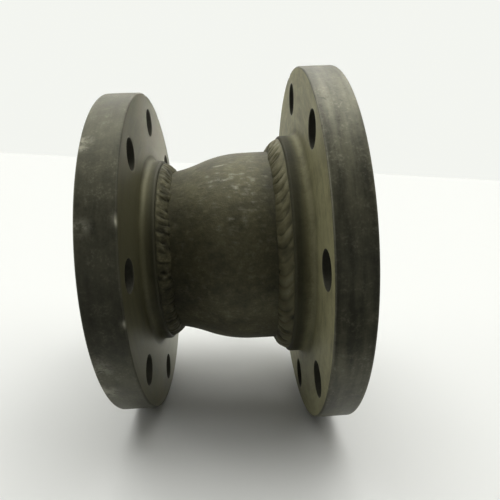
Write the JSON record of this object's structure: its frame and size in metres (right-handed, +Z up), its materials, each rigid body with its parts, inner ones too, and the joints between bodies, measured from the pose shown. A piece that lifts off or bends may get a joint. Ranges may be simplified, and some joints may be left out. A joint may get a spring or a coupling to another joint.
{
  "type": "flanged concentric pipe reducer",
  "caption": "Welded steel pipe reducer with a raised-face flange at each end, which joins two sizes of bolted pipeline on one axis.",
  "frame": {"origin": "centre of the small end's raised face, on the pipe axis", "axes": "+X along the pipe axis from the small end to the large end, +Z up; a bolt hole of each flange lies on the +Y axis"},
  "size_m": [0.1538, 0.254, 0.254],
  "materials": {
    "flange_steel": "forged and turned carbon steel, darkened by oil and handling",
    "reducer_steel": "mill scale with dull oxide speckle",
    "weld_metal": "rippled weld bead, as laid"
  },
  "bodies": {
    "root": {"small_end_flange": "flange_steel", "large_end_flange": "flange_steel", "concentric_reducer": "reducer_steel", "small_end_weld_root": "weld_metal", "small_end_weld_cap": "weld_metal", "large_end_weld_root": "weld_metal", "large_end_weld_cap": "weld_metal", "small_end_bore_weld": "weld_metal", "large_end_bore_weld": "weld_metal"}
  },
  "joints": []
}
